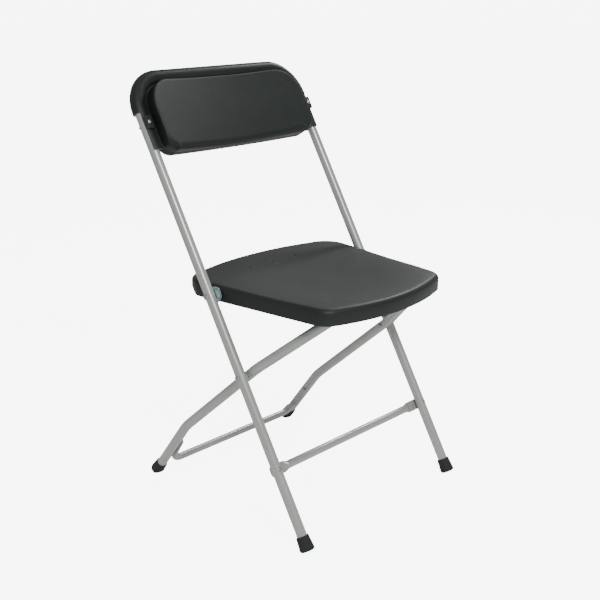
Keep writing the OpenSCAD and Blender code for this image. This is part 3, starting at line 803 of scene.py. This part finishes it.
def face_front(x, t):
    return FACE_FORWARD - FACE_HOLLOW * (1 - (x / FACE_HALF) ** 2)


def face_shoulder(x, t):
    """The face rolls over gently along its lower lip and tightly elsewhere."""
    return 2.6 + 8.4 * (1 - ease((t - BACK_LOW_T - 6) / 26))


def carried(name, corners, section):
    """A sleeve moulding: section points (inward, forward) carried along part of the bow."""
    line = bent_line([(on_uprights(x, t, 0), r) for x, t, r in corners], 5.0)
    rings = [[p + way.cross(FORWARD).normalized() * inward + FORWARD * n for inward, n in section]
             for p, way in line]
    return loft(name, rings, charcoal, "front_frame")


def along_bow(name, low_t, section):
    return carried(name, [(-UPRIGHT_X, low_t, 0), (-UPRIGHT_X, BOW_TOP, BOW_BEND_R),
                          (UPRIGHT_X, BOW_TOP, BOW_BEND_R), (UPRIGHT_X, low_t, 0)], section)


def arc_points(radius, start, end, steps):
    """(inward, forward) points on a circle about the tube, angles from inward towards forward."""
    return [(radius * math.cos(math.radians(start + (end - start) * k / steps)),
             radius * math.sin(math.radians(start + (end - start) * k / steps)))
            for k in range(steps + 1)]


SLEEVE_EDGE = 121.0
edge_inward, edge_forward = arc_points(SLEEVE_R, SLEEVE_EDGE, SLEEVE_EDGE, 1)[0]
sleeve_front = [(edge_inward - 0.1, edge_forward - 0.5)]
sleeve_front += arc_points(SLEEVE_R, SLEEVE_EDGE - 2, 62, 12)
sleeve_front += [(9.0, 10.6), (11.5, 9.4), (13.0, 7.4), (14.0, 6.4), (21.0, 6.2), (21.0, PART_LINE)]
sleeve_front += [(13.2, PART_LINE)] + arc_points(TUBE_R + 0.1, 18, SLEEVE_EDGE, 9)
sleeve = along_bow("front_sleeve", SLEEVE_END_T, sleeve_front)
face = loft("back_face", shell_rings(back_edge, back_middle, face_shoulder, face_front,
                                     lambda x, t: PART_LINE, on_uprights),
            charcoal, "front_frame", sharp=50)


def boss(side):
    """The block on a sleeve that the rivet goes through, with rounded corners."""
    levels = [(TUBE_R + 0.5, 0), (BOSS_FACE - 1.1, 0), (BOSS_FACE - 0.3, 0.4), (BOSS_FACE, 1.1)]
    shape = rounded_outline([(0, BOSS_T - BOSS_HALF_H - 0.1, 400), (BOSS_HALF_W, BOSS_T - BOSS_HALF_H, 2.2),
                             (BOSS_HALF_W, BOSS_T + BOSS_HALF_H, 2.2),
                             (0, BOSS_T + BOSS_HALF_H + 0.1, 400)], 3.0)
    middle = side * (UPRIGHT_X - 1)
    rings = [[on_uprights(middle + (p - m * inset).x, (p - m * inset).y, n) for p, m in shape]
             for n, inset in levels]
    return loft("boss", rings, charcoal, "front_frame")


front_moulding = joined("back_front_moulding", [face, sleeve, boss(-1), boss(1)])
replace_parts(front_moulding, "back_front_panel")

# Bright steel rivets through the blocks
bright_steel = finish_material(
    "bright_steel", (0.50, 0.51, 0.50), (0.62, 0.63, 0.62), (0.75, 0.75, 0.75), (0.24, 0.38),
    80, 2000, 0.00003, Metallic=1.0)
rivet_pair("back_rivet_heads",
           [(on_uprights(side * UPRIGHT_X, BOSS_T, BOSS_FACE), FORWARD) for side in (-1, 1)]
           + [(on_uprights(side * UPRIGHT_X, BOSS_T, -SLEEVE_R), -FORWARD) for side in (-1, 1)],
           "front_frame", bright_steel, "back_rivets", BACK_HEAD_R, BACK_HEAD_H)


# ---- Backrest rear --------------------------------------------------------------------
# The rear moulding: a shallow tray that closes the back and wraps the bow, with ears that
# reach round its bends and a strip of small grip ribs between two notches on top.
BACK_DEPTH = 15.0
EAR_END_T = 840.0
GRIP_HALF = 131.0
GRIP_PITCH = 8.2
NOTCH = 3.2
RIB_SECTION = ((-1.3, -0.6), (-0.9, 0.7), (0, 0.95), (0.9, 0.7), (1.3, -0.6))
low_sleeve = [(0, -SLEEVE_R), (21.0, -SLEEVE_R), (21.0, -10.0), (11.2, -10.0), (11.2, -6.0)]
low_sleeve += [(7.5, -6.0)] + arc_points(TUBE_R + 0.1, 320, 270, 6)
ear = arc_points(SLEEVE_R + 0.2, SLEEVE_EDGE + 1.5, 272, 22)
ear += arc_points(TUBE_R + 0.3, 272, SLEEVE_EDGE + 1.5, 22)
inner_lip = [(13.4, PART_LINE - 0.1), (13.4, -12.0), (10.5, -12.0), (10.5, PART_LINE - 0.1)]


def rear_place(x, t, n):
    """A point n behind the uprights' plane, as the rear tray is built face down."""
    return on_uprights(x, t, -n)


rear_parts = [
    loft("rear_tray", shell_rings(back_edge, back_middle, lambda x, t: 5.0, lambda x, t: BACK_DEPTH,
                                  lambda x, t: -PART_LINE + 0.1, rear_place),
         charcoal, "front_frame", sharp=50),
    along_bow("rear_low_sleeve", SLEEVE_END_T, low_sleeve),
    carried("ear_left", [(-UPRIGHT_X, EAR_END_T, 0), (-UPRIGHT_X, BOW_TOP, BOW_BEND_R),
                         (-GRIP_HALF - NOTCH, BOW_TOP, 0)], ear),
    carried("ear_top", [(-GRIP_HALF, BOW_TOP, 0), (GRIP_HALF, BOW_TOP, 0)], ear),
    carried("ear_right", [(GRIP_HALF + NOTCH, BOW_TOP, 0), (UPRIGHT_X, BOW_TOP, BOW_BEND_R),
                          (UPRIGHT_X, EAR_END_T, 0)], ear),
    along_bow("rear_inner_lip", EAR_END_T, inner_lip)]
rib_count = int(2 * GRIP_HALF / GRIP_PITCH)
for k in range(1, rib_count):
    x = -GRIP_HALF + 2 * GRIP_HALF * k / rib_count
    rib = [[on_uprights(x + w, BOW_TOP + (SLEEVE_R + h) * math.cos(a), -(SLEEVE_R + h) * math.sin(a))
            for w, h in RIB_SECTION]
           for a in (math.radians(-12 + 8 * j) for j in range(8))]
    rear_parts.append(loft("rib", rib, charcoal, "front_frame"))
rear_moulding = joined("back_rear_moulding", rear_parts)
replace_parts(rear_moulding, "back_rear_shell")


# ---- Under the seat -------------------------------------------------------------------
# Two steel angles carry the seat pivots, two plastic saddles rest on the crossbar, and
# pan-head screws hold the angles up into the seat.
for word in ("left", "right"):
    for node, material in ((f"seat_bracket_{word}", zinc_plate), (f"crossbar_saddle_{word}", charcoal)):
        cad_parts[node].data.materials.clear()
        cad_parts[node].data.materials.append(material)
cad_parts["seat_screws"].data.materials.clear()
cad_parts["seat_screws"].data.materials.append(bright_steel)
